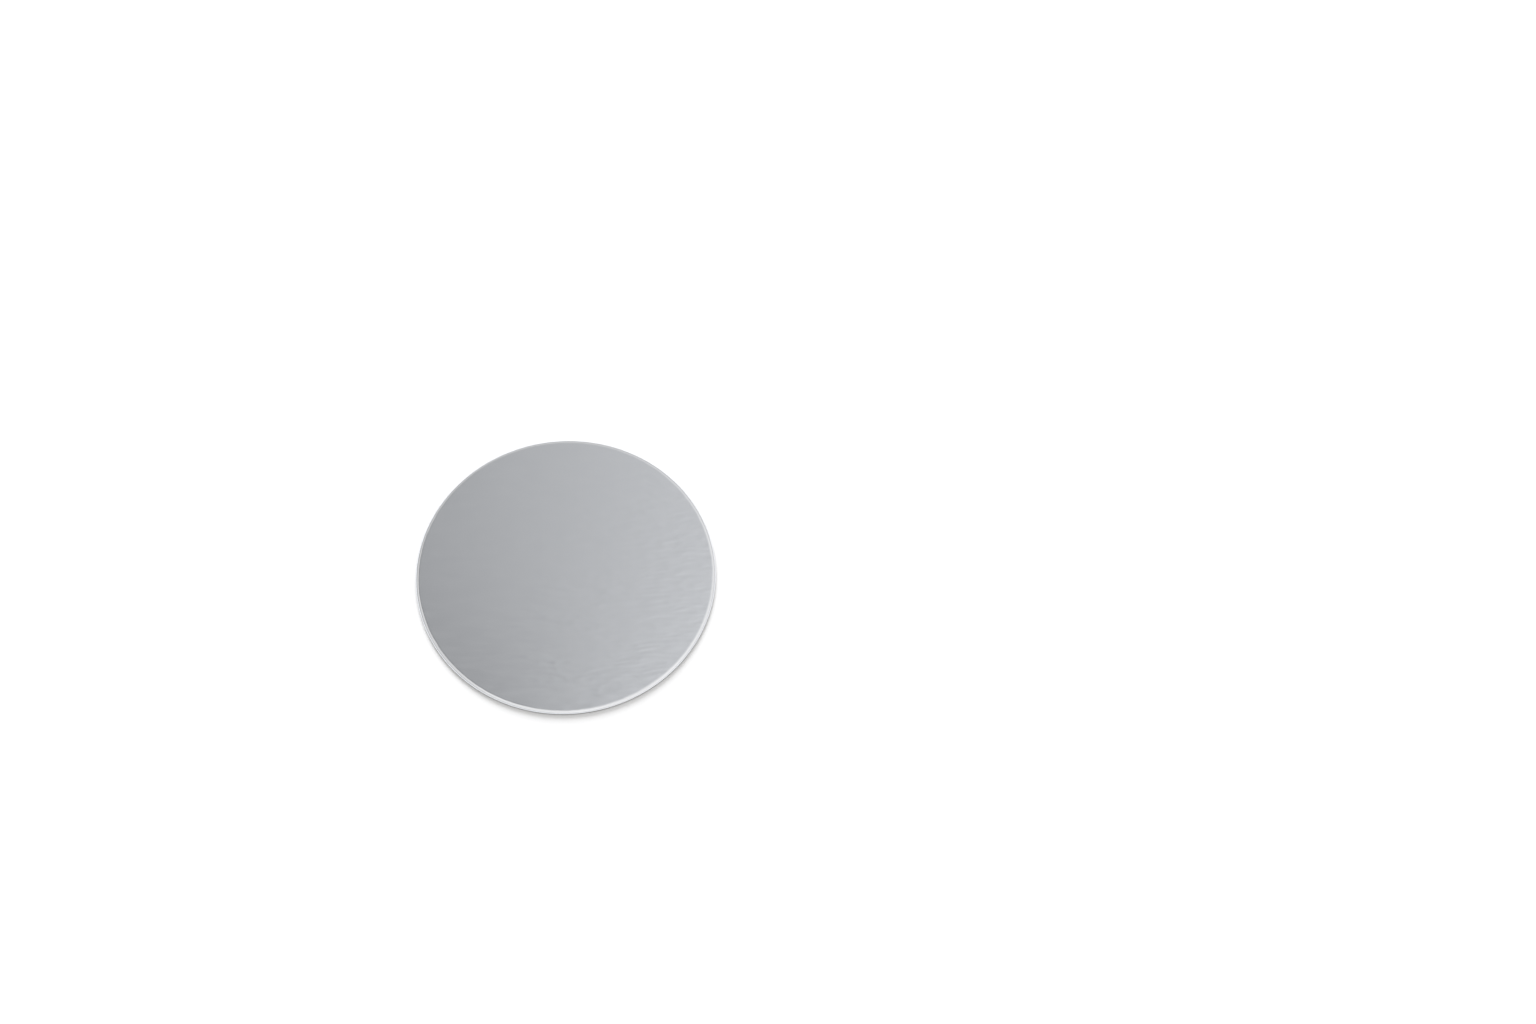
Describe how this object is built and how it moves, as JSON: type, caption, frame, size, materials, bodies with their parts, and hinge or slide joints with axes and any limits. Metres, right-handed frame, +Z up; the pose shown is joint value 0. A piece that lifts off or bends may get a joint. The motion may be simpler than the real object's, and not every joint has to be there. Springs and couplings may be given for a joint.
{
  "type": "cake board",
  "caption": "Round cake board: a flat disc of thick card with a bright foil face and a rolled, die-cut edge, to stand and carry a cake on.",
  "frame": {"origin": "centre of the flat underside", "axes": "+Z up, square to the foil face; the disc is round about Z, so X and Y are any two directions across it"},
  "size_m": [0.2, 0.2, 0.003],
  "materials": {
    "foil_card": "bright silver foil laminate with faint ripples on the face and shoulder, bare grey card at the cut edge, plain pale paper below"
  },
  "bodies": {
    "root": {"board": "foil_card"}
  },
  "joints": []
}
